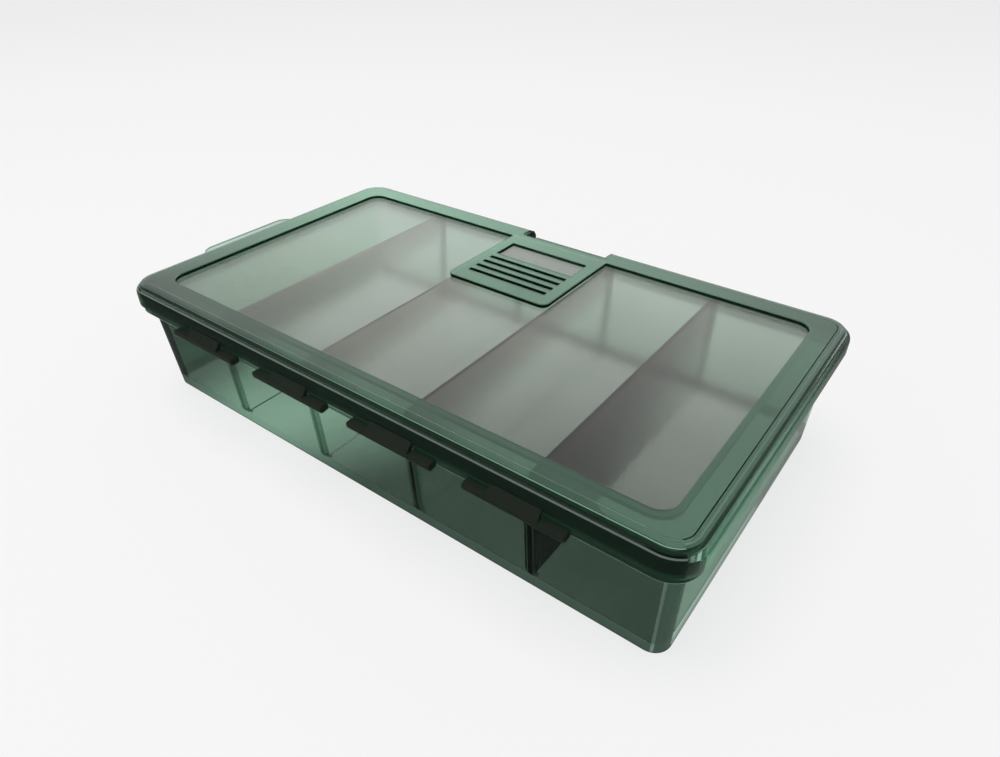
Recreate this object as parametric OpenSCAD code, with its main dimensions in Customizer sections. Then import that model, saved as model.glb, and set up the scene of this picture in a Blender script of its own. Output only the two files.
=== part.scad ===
// Flat tackle box with five bays: a tapered tray, four slide-in dividers, a lid hinged along
// the rear long side and a buckle latch in a notch of the front long side.
// Millimetres. The origin is the centre of the face that the tray rests on.
// +X runs along the box towards the ear, +Y towards the hinges and +Z up.

/* [Lid] */
// Length of the lid
lid_l = 205; // [198:1:225]
// Width of the lid
lid_w = 119; // [112:1:130]
// Height of the closed box
box_h = 41.8; // [38:0.2:48]
// Corner radius of the lid
lid_r = 9; // [7.5:0.5:12]
// Height of the skirt that hangs from the lid's border
skirt_h = 7.4; // [6.6:0.1:8.6]
// Thickness of the skirt
skirt_t = 1.4; // [1.1:0.1:1.8]
// Thickness of the border
border_t = 1.6; // [1.3:0.1:2]
// How far the bevel on the lid's top edge runs inwards
bevel_in = 1.5; // [0.6:0.1:2]
// How far the bevel on the lid's top edge runs down
bevel_down = 1.6; // [0.6:0.1:2.2]

/* [Window] */
// Width of the border at the two short sides
border_x = 10.7; // [9:0.1:14]
// Width of the border at the two long sides
border_y = 10.2; // [9.3:0.1:13]
// Depth of the window below the border
recess_d = 1.4; // [0.8:0.1:1.6]
// Corner radius of the window
window_r = 5; // [2:0.5:8]
// Thickness of the window panel
panel_t = 1.5; // [1:0.1:2]
// Thickness of the wall that joins the border to the window panel
step_t = 1.5; // [1:0.1:2]

/* [Platform] */
// Length of the raised platform
platform_l = 40; // [36:1:60]
// How far the platform reaches from the lid's front edge
platform_reach = 49; // [46:0.5:60]
// Corner radius of the platform
platform_r = 2.5; // [1:0.5:5]
// Length of the label recess and of the grooves
label_l = 31.4; // [24:0.2:34]
// Width of the label recess
label_w = 10.4; // [6:0.2:12]
// Distance of the label recess from the lid's front edge
label_from_edge = 16.1; // [15:0.1:17]
// Number of grooves
groove_count = 4; // [2:1:4]
// Width of one groove
groove_w = 1.7; // [1:0.1:2.4]
// Distance from one groove to the next
groove_pitch = 4; // [3:0.1:4.4]
// Distance from the label recess to the middle of the first groove
groove_gap = 3.5; // [2:0.1:4]

/* [Tray] */
// Distance of the tray's rim from the lid's outer face
rim_setback = 3.5; // [3.1:0.1:4.2]
// How much further in the foot of the short walls stands than their rim
draft_x = 1.2; // [0.5:0.1:3]
// How much further in the foot of the long walls stands than their rim
draft_y = 2.6; // [1:0.1:4]
// Corner radius of the tray
tray_r = 5; // [4:0.5:6]
// Thickness of the tray's walls
wall_t = 1.3; // [1:0.1:1.7]
// Thickness of the tray's floor
floor_t = 1.5; // [1:0.1:2.5]
// Height of the foot under the floor
foot_h = 0.5; // [0.3:0.1:1]
// How far the foot stands in from the tray's lower edge
foot_in = 0.5; // [0.3:0.1:2]
// Thickness of the flange under the skirt
flange_t = 2.2; // [1.8:0.1:2.4]
// Distance of the flange's edge from the lid's outer face
flange_setback = 0.9; // [0.8:0.1:1.2]

/* [Dividers] */
// Thickness of a divider
divider_t = 1.4; // [1:0.1:2]
// Width of one guide rib
guide_w = 1; // [0.8:0.1:1.4]
// How far a guide rib stands out of the wall
guide_d = 2; // [1.2:0.1:2.6]
// How far a guide rib ends below the top of a divider
guide_drop = 0.8; // [0.4:0.1:4]

/* [Ear] */
// How far the ear reaches beyond the lid
ear_reach = 16.3; // [14.5:0.1:22]
// Width of the ear where it leaves the flange
ear_root_w = 43.4; // [38:0.2:60]
// Width of the ear's straight outer edge
ear_edge_w = 31.6; // [24:0.2:36]
// Corner radius of the ear
ear_r = 5.5; // [3:0.5:6]
// Length of the lanyard slot
slot_l = 24; // [14:1:28]
// Width of the lanyard slot
slot_w = 6; // [5:0.2:7]
// Distance from the slot to the ear's outer edge
slot_edge = 6.3; // [5:0.1:7]

/* [Hinges] */
// Length of one hinge
hinge_l = 29; // [22:1:34]
// Distance of the hinge axis from the lid's outer face
hinge_out = 1.2; // [1.1:0.05:1.6]
// Radius of the hinge knuckles
knuckle_r = 1.65; // [1.5:0.05:1.7]
// Length of one tray knuckle
tray_knuckle_l = 7.2; // [5:0.1:8]
// Radius of the hinge pins
hinge_pin_r = 0.8; // [0.6:0.05:0.95]

/* [Latch] */
// Length of the notch in the lid's front edge
notch_l = 33; // [29:0.5:33.5]
// Depth of the notch
notch_d = 5.5; // [5.3:0.1:6]
// Thickness of the notch's walls
notch_t = 1.4; // [1.2:0.1:1.6]
// Distance of the latch's axis from the lid's outer face
latch_in = 2.5; // [2.4:0.05:2.7]
// Height of the latch's axis above the skirt's lower edge
latch_rise = 2.2; // [2.1:0.05:2.3]
// Radius of the latch's barrel
latch_r = 1.7; // [1.5:0.05:1.75]
// Radius of the latch pin
latch_pin_r = 0.8; // [0.6:0.05:1]
// Thickness of the latch's plate
latch_t = 1.5; // [1.2:0.1:1.8]
// How far the latch reaches below its axis
latch_drop = 8.4; // [8:0.1:9.5]

/* [Clearances] */
// Gap between the skirt and the flange
skirt_gap = 0.3; // [0.3:0.05:0.5]
// Gap between the tray's rim and the border
rim_gap = 0.8; // [0.6:0.1:1.5]
// Gap between the dividers and the window panel
divider_gap = 0.6; // [0.4:0.1:1.5]
// Gap between a divider and its guides
guide_gap = 0.1; // [0.05:0.05:0.2]
// Gap between the ends of two knuckles
knuckle_gap = 0.3; // [0.2:0.05:0.5]
// Gap between the latch and the ends of its notch
latch_gap = 0.4; // [0.3:0.05:0.6]
// Gap between the latch's plate and the flange
plate_gap = 0.6; // [0.4:0.05:0.7]
// Gap between the latch's hook and the flange
hook_gap = 0.4; // [0.35:0.05:0.6]
// Gap between the notch's walls and the end of the tray's rim
low_rim_gap = 1; // [0.9:0.1:1.5]
// Radial gap of a pin that is held fast
fast_gap = 0.02; // [0.01:0.01:0.03]
// Radial gap of a pin that a piece turns on
turning_gap = 0.08; // [0.04:0.01:0.1]

/* [Hidden] */
$fn = 64;

// Steps of each quarter turn on the tray's tapered corners
corner_steps = 8;
// How far a cut runs past the solid that it cuts
past = 1;
// How far a piece runs into the solid that it grows from
root = 0.4;

// Heights, from the foot up
floor_z = foot_h + floor_t;
skirt_z = box_h - skirt_h;
flange_top_z = skirt_z - skirt_gap;
flange_z = flange_top_z - flange_t;
border_z = box_h - border_t;
rim_z = border_z - rim_gap;
window_z = box_h - recess_d;
panel_z = window_z - panel_t;
divider_z = panel_z - divider_gap;

// Outer faces of the lid and the edge of the flange
lid_x = lid_l / 2;
lid_y = lid_w / 2;
flange_x = lid_x - flange_setback;
flange_y = lid_y - flange_setback;
flange_r = lid_r - flange_setback;

// Outer faces of the tapered walls at a height
function wall_x(z) = lid_x - rim_setback - draft_x * (rim_z - z) / (rim_z - foot_h);
function wall_y(z) = lid_y - rim_setback - draft_y * (rim_z - z) / (rim_z - foot_h);

// Four dividers make five equal bays of the tray's inner length, and a hinge stands behind each
bays = 5;
bay_pitch = (2 * (wall_x(rim_z) - wall_t) + divider_t) / bays;
row = [for (i = [0 : bays - 2]) (i - (bays - 2) / 2) * bay_pitch];

// Hinge axis
hinge_y = lid_y + hinge_out;
hinge_z = skirt_z - knuckle_r;
lid_knuckle_l = hinge_l - 2 * tray_knuckle_l - 2 * knuckle_gap;
// Where a tray knuckle's web meets its barrel, from the axis, as shares of the barrel's radius
web_low = [-0.8, -0.6];
web_high = [-0.6, 0.75];
// Height of the lower edge of a lid knuckle's web on the skirt's outer face
web_rise = 0.3;
// How far the ends of the pins lie inside their holes
hinge_pin_recess = 0.5;
latch_pin_recess = 0.1;

// Latch axis, plate and hook
latch_y = latch_in - lid_y;
latch_z = skirt_z + latch_rise;
latch_l = notch_l - 2 * latch_gap;
notch_y = notch_d - lid_y;
plate_in_y = -flange_y - plate_gap;
plate_out_y = plate_in_y - latch_t;
hook_z = flange_z - hook_gap;
hook_bite = 1;
hook_nose_t = 0.84;
hook_root_t = 1.68;
shoulder_in = 0.3;
shoulder_down = 0.6;
lip_out = 1.6;
lip_t = 0.7;
// The rim is low in front of the notch, so that its walls and the latch have room
low_rim_x = notch_l / 2 + notch_t + low_rim_gap;
notch_wall_z = flange_top_z - 1;

green = [0.13, 0.25, 0.19, 0.75];
pale_green = [0.42, 0.50, 0.46, 0.6];
steel = [0.72, 0.73, 0.74];

// Flat shapes

module rounded_rect(l, w, r) {
    square([l - 2 * r, w], center = true);
    square([l, w - 2 * r], center = true);
    for (sx = [-1, 1], sy = [-1, 1])
        translate([sx * (l / 2 - r), sy * (w / 2 - r)]) circle(r = r);
}

module plate(l, w, r, z0, z1) {
    translate([0, 0, z0]) linear_extrude(height = z1 - z0) rounded_rect(l, w, r);
}

// A profile drawn in Y and Z, drawn out along X about its middle
module along_x(x, length) {
    translate([x, 0, 0]) rotate([90, 0, 90]) linear_extrude(height = length, center = true) children();
}

module bar_x(x, y, z, r, length) {
    translate([x, y, z]) rotate([0, 90, 0]) cylinder(r = r, h = length, center = true);
}

// Lofted blocks

// Points round a rectangle of half sizes hx and hy with corners of radius r, at height z
function ring(hx, hy, r, z) = [
    for (q = [0 : 3], s = [0 : corner_steps])
        let (a = 90 * (q + s / corner_steps),
             cx = (q == 0 || q == 3 ? 1 : -1) * (hx - r),
             cy = (q < 2 ? 1 : -1) * (hy - r))
        [cx + r * cos(a), cy + r * sin(a), z]
];

// A closed block through rings that are listed from the lowest up
module loft(rings) {
    n = len(rings[0]);
    last = len(rings) - 1;
    floor_face = [for (i = [0 : n - 1]) i];
    roof_face = [for (i = [n - 1 : -1 : 0]) last * n + i];
    side_faces = [
        for (k = [0 : last - 1], i = [0 : n - 1])
            let (a = k * n + i, b = k * n + (i + 1) % n)
            for (f = [[a, a + n, b + n], [a, b + n, b]]) f
    ];
    polyhedron(points = [for (r = rings) each r], faces = concat([floor_face, roof_face], side_faces));
}

// A ring on the tray's outer faces at height z, or inset from them
function wall_ring(inset, r, z) = ring(wall_x(z) - inset, wall_y(z) - inset, r, z);

// Tray

module guide_rib(x, side) {
    along_x(x, guide_w) polygon([
        [side * (wall_y(floor_z - root) - wall_t + root), floor_z - root],
        [side * (wall_y(divider_z - guide_drop) - wall_t + root), divider_z - guide_drop],
        [side * (wall_y(divider_z - guide_drop) - wall_t - guide_d), divider_z - guide_drop],
        [side * (wall_y(floor_z - root) - wall_t - guide_d), floor_z - root]
    ]);
}

module guide_ribs() {
    step = divider_t / 2 + guide_gap + guide_w / 2;
    for (x = row, side = [-1, 1], turn = [-1, 1]) guide_rib(x + turn * step, side);
}

module ear_outline() {
    corner_x = lid_x + ear_reach - ear_r;
    corner_y = ear_edge_w / 2;
    // Turn of the rounded corner before the slanted side leaves it
    tilt = 80;
    polygon([
        [flange_x - past, -ear_root_w / 2],
        [corner_x + ear_r * cos(tilt), -corner_y - ear_r * sin(tilt)],
        [corner_x + ear_r * cos(tilt), -corner_y],
        [corner_x + ear_r, -corner_y],
        [corner_x + ear_r, corner_y],
        [corner_x + ear_r * cos(tilt), corner_y],
        [corner_x + ear_r * cos(tilt), corner_y + ear_r * sin(tilt)],
        [flange_x - past, ear_root_w / 2]
    ]);
    for (s = [-1, 1]) translate([corner_x, s * corner_y]) circle(r = ear_r);
}

module lanyard_slot() {
    slot_x = lid_x + ear_reach - slot_edge - slot_w / 2;
    translate([slot_x, 0, flange_z - past]) linear_extrude(height = flange_t + 2 * past) {
        square([slot_w, slot_l - slot_w], center = true);
        for (s = [-1, 1]) translate([0, s * (slot_l - slot_w) / 2]) circle(d = slot_w);
    }
}

module tray_knuckles(x) {
    for (s = [-1, 1]) {
        mid = x + s * (hinge_l - tray_knuckle_l) / 2;
        bar_x(mid, hinge_y, hinge_z, knuckle_r, tray_knuckle_l);
        along_x(mid, tray_knuckle_l) polygon([
            [flange_y - past, flange_z],
            [hinge_y, hinge_z] + knuckle_r * web_low,
            [hinge_y, hinge_z],
            [hinge_y, hinge_z] + knuckle_r * web_high,
            [hinge_y - knuckle_r, flange_top_z],
            [flange_y - past, flange_top_z]
        ]);
    }
}

module tray() {
    color(green) difference() {
        union() {
            difference() {
                union() {
                    loft([wall_ring(0, tray_r, foot_h), wall_ring(0, tray_r, rim_z)]);
                    plate(2 * flange_x, 2 * flange_y, flange_r, flange_z, flange_top_z);
                    plate(2 * (wall_x(foot_h) - foot_in), 2 * (wall_y(foot_h) - foot_in),
                          tray_r - foot_in, 0, foot_h + root);
                    translate([0, 0, flange_z]) linear_extrude(height = flange_t) ear_outline();
                    for (x = row) tray_knuckles(x);
                }
                loft([wall_ring(wall_t, tray_r - wall_t, floor_z),
                      wall_ring(wall_t, tray_r - wall_t, rim_z + past)]);
            }
            guide_ribs();
        }
        translate([-low_rim_x, -lid_y, flange_top_z])
            cube([2 * low_rim_x, lid_y - wall_y(flange_top_z) + wall_t + guide_d + past, box_h]);
        for (x = row) bar_x(x, hinge_y, hinge_z, hinge_pin_r + fast_gap, hinge_l + 2 * past);
        lanyard_slot();
    }
}

// Dividers

module divider(x) {
    color(pale_green) along_x(x, divider_t) polygon([
        [-(wall_y(floor_z) - wall_t - guide_gap), floor_z],
        [wall_y(floor_z) - wall_t - guide_gap, floor_z],
        [wall_y(divider_z) - wall_t - guide_gap, divider_z],
        [-(wall_y(divider_z) - wall_t - guide_gap), divider_z]
    ]);
}

// Lid

module lid_block() {
    loft([
        ring(lid_x, lid_y, lid_r, skirt_z),
        ring(lid_x, lid_y, lid_r, box_h - bevel_down),
        ring(lid_x - bevel_in, lid_y - bevel_in, lid_r - bevel_in, box_h)
    ]);
}

module lid_shell() {
    window_l = lid_l - 2 * border_x;
    window_w = lid_w - 2 * border_y;
    difference() {
        lid_block();
        plate(lid_l - 2 * skirt_t, lid_w - 2 * skirt_t, lid_r - skirt_t, skirt_z - past, border_z);
        plate(window_l, window_w, window_r, border_z - past, box_h + past);
    }
    plate(window_l + 2 * step_t, window_w + 2 * step_t, window_r + step_t, panel_z, window_z);
}

module platform() {
    // Runs under the border in front, so that only its rear corners show
    front_y = border_y - lid_y - platform_r;
    rear_y = platform_reach - lid_y;
    translate([0, (front_y + rear_y) / 2, 0])
        plate(platform_l, rear_y - front_y, platform_r, window_z - root, box_h);
}

module label_and_grooves() {
    front_y = label_from_edge - lid_y;
    groove_y = front_y + label_w + groove_gap;
    translate([-label_l / 2, front_y, window_z]) cube([label_l, label_w, recess_d + past]);
    for (k = [0 : groove_count - 1])
        translate([-label_l / 2, groove_y + k * groove_pitch - groove_w / 2, window_z])
            cube([label_l, groove_w, recess_d + past]);
}

module notch_walls() {
    side_x = notch_l / 2 + notch_t;
    translate([-side_x, -lid_y + root, skirt_z])
        cube([2 * side_x, notch_d + notch_t - root, border_z - skirt_z + root]);
    // The rear wall reaches down inside the tray, between the guide ribs
    translate([-notch_l / 2, notch_y, notch_wall_z]) cube([notch_l, notch_t, skirt_z - notch_wall_z + root]);
}

module lid_knuckle(x) {
    bar_x(x, hinge_y, hinge_z, knuckle_r, lid_knuckle_l);
    along_x(x, lid_knuckle_l) polygon([
        [lid_y - skirt_t, skirt_z],
        [hinge_y - knuckle_r, skirt_z],
        [hinge_y - knuckle_r, hinge_z],
        [hinge_y, hinge_z],
        [hinge_y, skirt_z],
        [lid_y, skirt_z + web_rise],
        [lid_y - root, skirt_z + past],
        [lid_y - skirt_t, skirt_z + past]
    ]);
}

module lid() {
    color(green) difference() {
        union() {
            lid_shell();
            platform();
            notch_walls();
            for (x = row) lid_knuckle(x);
        }
        translate([-notch_l / 2, -lid_y - past, skirt_z - 2 * past])
            cube([notch_l, notch_d + past, skirt_h + 4 * past]);
        label_and_grooves();
        bar_x(0, latch_y, latch_z, latch_pin_r + fast_gap, notch_l + 2 * notch_t + past);
        for (x = row) bar_x(x, hinge_y, hinge_z, hinge_pin_r + turning_gap, lid_knuckle_l + past);
    }
}

// Latch

module latch() {
    foot_z = latch_z - latch_drop;
    color(green) difference() {
        union() {
            bar_x(0, latch_y, latch_z, latch_r, latch_l);
            along_x(0, latch_l) polygon([
                [latch_y, latch_z - latch_r],
                [latch_y - (latch_r - shoulder_in), latch_z - latch_r],
                [plate_in_y, flange_top_z + skirt_gap],
                [plate_in_y, hook_z],
                [hook_bite - flange_y, hook_z],
                [hook_bite - flange_y, hook_z - hook_nose_t],
                [plate_in_y, hook_z - hook_root_t],
                [plate_in_y, foot_z + lip_t],
                [plate_out_y - lip_out + lip_t, foot_z],
                [plate_out_y - lip_out, foot_z + lip_t],
                [plate_out_y, foot_z + lip_t + lip_out],
                [plate_out_y, latch_z - shoulder_down],
                [latch_y - shoulder_in, latch_z + latch_r - shoulder_in],
                [latch_y, latch_z]
            ]);
        }
        bar_x(0, latch_y, latch_z, latch_pin_r + turning_gap, latch_l + past);
    }
}

// Pins

module latch_pin() {
    color(steel) bar_x(0, latch_y, latch_z, latch_pin_r, notch_l + 2 * (notch_t - latch_pin_recess));
}

module hinge_pin(x) {
    color(steel) bar_x(x, hinge_y, hinge_z, hinge_pin_r, hinge_l - 2 * hinge_pin_recess);
}

tray();
divider(row[0]);  // divider_1
divider(row[1]);  // divider_2
divider(row[2]);  // divider_3
divider(row[3]);  // divider_4
lid();
latch();
latch_pin();
hinge_pin(row[0]);  // hinge_pin_1
hinge_pin(row[1]);  // hinge_pin_2
hinge_pin(row[2]);  // hinge_pin_3
hinge_pin(row[3]);  // hinge_pin_4
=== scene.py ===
"""Flat tackle box with five bays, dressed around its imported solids.

All sizes are in millimetres and turn into metres when a mesh is made.
"""

import logging
import math
from dataclasses import dataclass, field
from enum import Enum
from typing import Callable, ClassVar, Sequence

import bmesh
import bpy
from mathutils import Matrix, Vector


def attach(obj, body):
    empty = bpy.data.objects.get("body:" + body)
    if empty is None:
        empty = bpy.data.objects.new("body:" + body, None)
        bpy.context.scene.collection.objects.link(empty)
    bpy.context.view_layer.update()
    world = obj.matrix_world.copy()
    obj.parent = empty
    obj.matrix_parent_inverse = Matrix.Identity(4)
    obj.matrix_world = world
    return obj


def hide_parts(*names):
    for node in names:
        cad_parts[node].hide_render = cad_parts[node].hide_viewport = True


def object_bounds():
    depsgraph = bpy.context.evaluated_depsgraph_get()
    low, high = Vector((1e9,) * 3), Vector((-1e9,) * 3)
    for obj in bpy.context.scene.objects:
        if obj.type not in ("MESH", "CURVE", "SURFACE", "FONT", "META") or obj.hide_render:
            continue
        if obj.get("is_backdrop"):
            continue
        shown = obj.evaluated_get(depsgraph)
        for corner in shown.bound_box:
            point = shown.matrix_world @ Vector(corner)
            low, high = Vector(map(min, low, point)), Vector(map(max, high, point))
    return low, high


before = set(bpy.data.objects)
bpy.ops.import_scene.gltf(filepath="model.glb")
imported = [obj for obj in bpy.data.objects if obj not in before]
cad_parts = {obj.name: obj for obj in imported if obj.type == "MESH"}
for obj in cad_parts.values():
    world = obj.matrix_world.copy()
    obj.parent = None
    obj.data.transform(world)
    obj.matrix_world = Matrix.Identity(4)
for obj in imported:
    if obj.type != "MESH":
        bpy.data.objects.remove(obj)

LOG = logging.getLogger("tackle_box")
MM = 0.001

Triple = tuple[float, float, float]
Colour = Triple
Pair = tuple[float, float]
Ring = list[Vector]
Mesh = bpy.types.Mesh
Piece = bpy.types.Object
Finish = bpy.types.Material
Socket = bpy.types.NodeSocket
FinishRule = Callable[[Vector, Vector], Finish]

LID_HALF: Pair = (102.5, 59.5)
"""Half sizes of the lid."""

LATCH_AXIS: Pair = (-57.0, 36.6)
"""Where the latch's pin lies, in Y and Z."""

PALE: Colour = (0.888, 0.888, 0.888)
"""Colour of the floor and the backdrop."""

LEANING, SLANTED, FACING, FLAT = 0.25, 0.5, 0.7, 0.9
"""Shares of an axis in a face's normal, from a face that leans a little along it to a flat one."""


# Outlines and closed solids

@dataclass(frozen=True)
class Corner:
    """A corner of an outline and the radius that rounds it."""

    u: float
    v: float
    radius: float = 0.05


class Outline:
    """A closed outline with rounded corners, listed anticlockwise, that can be drawn in or out."""

    LEAST_RADIUS = 0.02

    def __init__(self, corners: Sequence[Corner], steps: int = 6) -> None:
        """Keeps the corners.

        Args:
            corners: The corners, anticlockwise.
            steps: Steps of each rounded corner.
        """
        self.corners = list(corners)
        self.steps = steps

    def at(self, inset: float = 0.0) -> list[Pair]:
        """Gives the outline's points, as many for every inset.

        Args:
            inset: How far the outline is drawn in, or out where it is negative.

        Returns:
            The points in order.
        """
        points: list[Pair] = []
        count = len(self.corners)
        for i, corner in enumerate(self.corners):
            here = Vector((corner.u, corner.v))
            before = self.corners[i - 1]
            after = self.corners[(i + 1) % count]
            come = (here - Vector((before.u, before.v))).normalized()
            leave = (Vector((after.u, after.v)) - here).normalized()
            turn = math.atan2(come.x * leave.y - come.y * leave.x, come.dot(leave))
            side = 1.0 if turn > 0 else -1.0
            inwards = Vector((-come.y, come.x))
            drawn = here + (inwards + Vector((-leave.y, leave.x))) * inset / (1 + come.dot(leave))
            radius = max(corner.radius - side * inset, self.LEAST_RADIUS)
            start = drawn - come * radius * math.tan(abs(turn) / 2)
            centre = start + inwards * radius * side
            for step in range(self.steps + 1):
                spoke = Matrix.Rotation(turn * step / self.steps, 2) @ (start - centre)
                points.append(tuple(centre + spoke))
        return points


def rectangle(half_u: float, half_v: float, radius: float, steps: int = 10) -> Outline:
    """A rounded rectangle about the origin."""
    return box_outline(-half_u, half_u, -half_v, half_v, radius, steps)


def outside(place_in: Vector, half: Pair, radius: float) -> float:
    """How far a place lies outside a rounded rectangle about the origin, or inside where negative."""
    du, dv = (abs(place_in[i]) - (half[i] - radius) for i in (0, 1))
    return (math.hypot(du, dv) if du > 0 and dv > 0 else max(du, dv)) - radius


def box_outline(u0: float, u1: float, v0: float, v1: float, radius: float, steps: int = 6) -> Outline:
    """A rounded rectangle between two corners."""
    return Outline([Corner(u1, v0, radius), Corner(u1, v1, radius), Corner(u0, v1, radius),
                    Corner(u0, v0, radius)], steps)


def level(points: Sequence[Pair], z: float) -> Ring:
    """Lays an outline's points level at a height."""
    return [Vector((u, v, z)) for u, v in points]


def upright(points: Sequence[Pair], x: float) -> Ring:
    """Stands an outline that is drawn in Y and Z up at a place along X."""
    return [Vector((x, u, v)) for u, v in points]


def quarter(radius: float, steps: int) -> list[Pair]:
    """Steps of a rounded edge: how far in and how far along, from the end face to the side."""
    angles = [math.pi / 2 * s / steps for s in range(steps + 1)]
    return [(radius * (1 - math.sin(a)), radius * (1 - math.cos(a))) for a in angles]


def loft(name: str, rings: Sequence[Ring]) -> Mesh:
    """Makes a closed mesh through rings that have as many points each.

    Args:
        name: Name of the mesh.
        rings: The rings, in millimetres. The first and the last are closed with a face.

    Returns:
        The mesh, in metres, with its faces pointing outwards.
    """
    mesh = bpy.data.meshes.new(name)
    work = bmesh.new()
    made = [[work.verts.new(point * MM) for point in ring] for ring in rings]
    count = len(rings[0])
    for low, high in zip(made, made[1:]):
        for i in range(count):
            j = (i + 1) % count
            work.faces.new((low[i], low[j], high[j], high[i]))
    work.faces.new(reversed(made[0]))
    work.faces.new(made[-1])
    bmesh.ops.recalc_face_normals(work, faces=work.faces)
    work.to_mesh(mesh)
    work.free()
    return mesh


def plate(name: str, outline: Outline, z0: float, z1: float, low: float = 0.0, high: float = 0.0,
          steps: int = 3) -> Mesh:
    """Makes a level plate with rounded edges.

    Args:
        name: Name of the mesh.
        outline: Shape of the plate.
        z0: Height of its lower face.
        z1: Height of its upper face.
        low: Radius of the lower edge. A negative one flares outwards.
        high: Radius of the upper edge. A negative one flares outwards.
        steps: Steps of each rounded edge.

    Returns:
        The mesh.
    """
    rings: list[Ring] = []
    for z, radius, way in ((z0, low, 1), (z1, high, -1)):
        arc = quarter(abs(radius), steps) if radius else [(0.0, 0.0)]
        rings += [level(outline.at(math.copysign(inset, radius)), z + way * along)
                  for inset, along in arc[::way]]
    return loft(name, rings)


def cutter(name: str, outline: Outline, z0: float, face_z: float, lip: float, past: float = 1.0,
           steps: int = 3) -> Mesh:
    """Makes a cutter that leaves a rounded lip where its hole meets an upper face.

    Args:
        name: Name of the mesh.
        outline: Shape of the hole.
        z0: Where the cutter starts.
        face_z: Height of the face that the hole opens in.
        lip: Radius of the lip.
        past: How far the cutter runs past the face.
        steps: Steps of the lip.

    Returns:
        The mesh.
    """
    rings = [level(outline.at(), z0)]
    for step in range(steps + 1):
        angle = math.pi / 2 * step / steps
        out, down = lip * (1 - math.cos(angle)), lip * (1 - math.sin(angle))
        rings.append(level(outline.at(-out), face_z - down))
    rings.append(level(outline.at(-lip), face_z + past))
    return loft(name, rings)


def bar(name: str, outline: Outline, x0: float, x1: float, edge: float, steps: int = 3) -> Mesh:
    """Makes a bar along X from an outline in Y and Z, with rounded ends.

    Args:
        name: Name of the mesh.
        outline: Shape of the bar's end.
        x0: Where the bar starts.
        x1: Where the bar ends.
        edge: Radius of the edges round its ends.
        steps: Steps of each rounded edge.

    Returns:
        The mesh.
    """
    arc = quarter(edge, steps)
    rings = [upright(outline.at(inset), x0 + along) for inset, along in arc]
    rings += [upright(outline.at(inset), x1 - along) for inset, along in reversed(arc)]
    return loft(name, rings)


def round_bar(name: str, y: float, z: float, radius: float, x0: float, x1: float,
              sides: int = 32) -> Mesh:
    """A plain round bar along X."""
    turn = [2 * math.pi * i / sides for i in range(sides)]
    circle = [(y + radius * math.cos(a), z + radius * math.sin(a)) for a in turn]
    return loft(name, [upright(circle, x0), upright(circle, x1)])


def merged(name: str, meshes: Sequence[Mesh]) -> Mesh:
    """Puts separate meshes into one and removes them."""
    work = bmesh.new()
    for mesh in meshes:
        work.from_mesh(mesh)
        bpy.data.meshes.remove(mesh)
    result = bpy.data.meshes.new(name)
    work.to_mesh(result)
    work.free()
    return result


class Operation(Enum):
    """What a second solid does to the first."""

    JOIN = "UNION"
    CUT = "DIFFERENCE"


class Blank:
    """A closed solid that others are joined to or cut from, in the order in which they are given."""

    def __init__(self, name: str, mesh: Mesh) -> None:
        """Puts the solid into the scene."""
        self.piece = place(name, mesh)
        self.others: list[Piece] = []

    def apply(self, operation: Operation, mesh: Mesh) -> "Blank":
        """Adds one step.

        Args:
            operation: What the other solid does.
            mesh: The other solid.

        Returns:
            This blank, for the next step.
        """
        other = place(f"{self.piece.name}_step", mesh)
        self.others.append(other)
        step = self.piece.modifiers.new(operation.name, "BOOLEAN")
        step.solver = "MANIFOLD"
        step.operation = operation.value
        step.object = other
        return self

    def join(self, mesh: Mesh) -> "Blank":
        """Joins another solid to this one."""
        return self.apply(Operation.JOIN, mesh)

    def cut(self, mesh: Mesh) -> "Blank":
        """Cuts another solid from this one."""
        return self.apply(Operation.CUT, mesh)

    def done(self) -> Piece:
        """Carries the steps out and gives the finished piece."""
        settle(self.piece)
        for other in self.others:
            shape = other.data
            bpy.data.objects.remove(other)
            bpy.data.meshes.remove(shape)
        return self.piece


def place(name: str, mesh: Mesh) -> Piece:
    """Puts a mesh into the scene as an object at the origin."""
    piece = bpy.data.objects.new(name, mesh)
    bpy.context.scene.collection.objects.link(piece)
    return piece


def settle(piece: Piece) -> None:
    """Turns a piece and its modifiers into a plain mesh and removes the modifiers."""
    shape = bpy.data.meshes.new_from_object(piece.evaluated_get(bpy.context.evaluated_depsgraph_get()))
    old = piece.data
    piece.modifiers.clear()
    piece.data = shape
    shape.name = piece.name
    bpy.data.meshes.remove(old)


def smooth(piece: Piece, sharp_deg: float = 40.0) -> None:
    """Shades a piece smooth, with flat faces kept flat and edges past an angle kept sharp."""
    piece.data.shade_smooth()
    piece.data.set_sharp_from_angle(angle=math.radians(sharp_deg))
    weighted = piece.modifiers.new("flat_faces", "WEIGHTED_NORMAL")
    weighted.keep_sharp = True
    weighted.weight = 100
    settle(piece)


def dress(piece: Piece, finishes: Sequence[Finish], rule: FinishRule | None = None) -> None:
    """Gives a piece its finishes.

    Args:
        piece: The piece.
        finishes: Every finish that it has.
        rule: Picks one of them from a face's middle, in millimetres, and its normal.
    """
    piece.data.materials.clear()
    for finish in finishes:
        piece.data.materials.append(finish)
    names = [finish.name for finish in finishes]
    for face in piece.data.polygons:
        face.material_index = names.index(rule(face.center / MM, face.normal).name) if rule else 0


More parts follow.
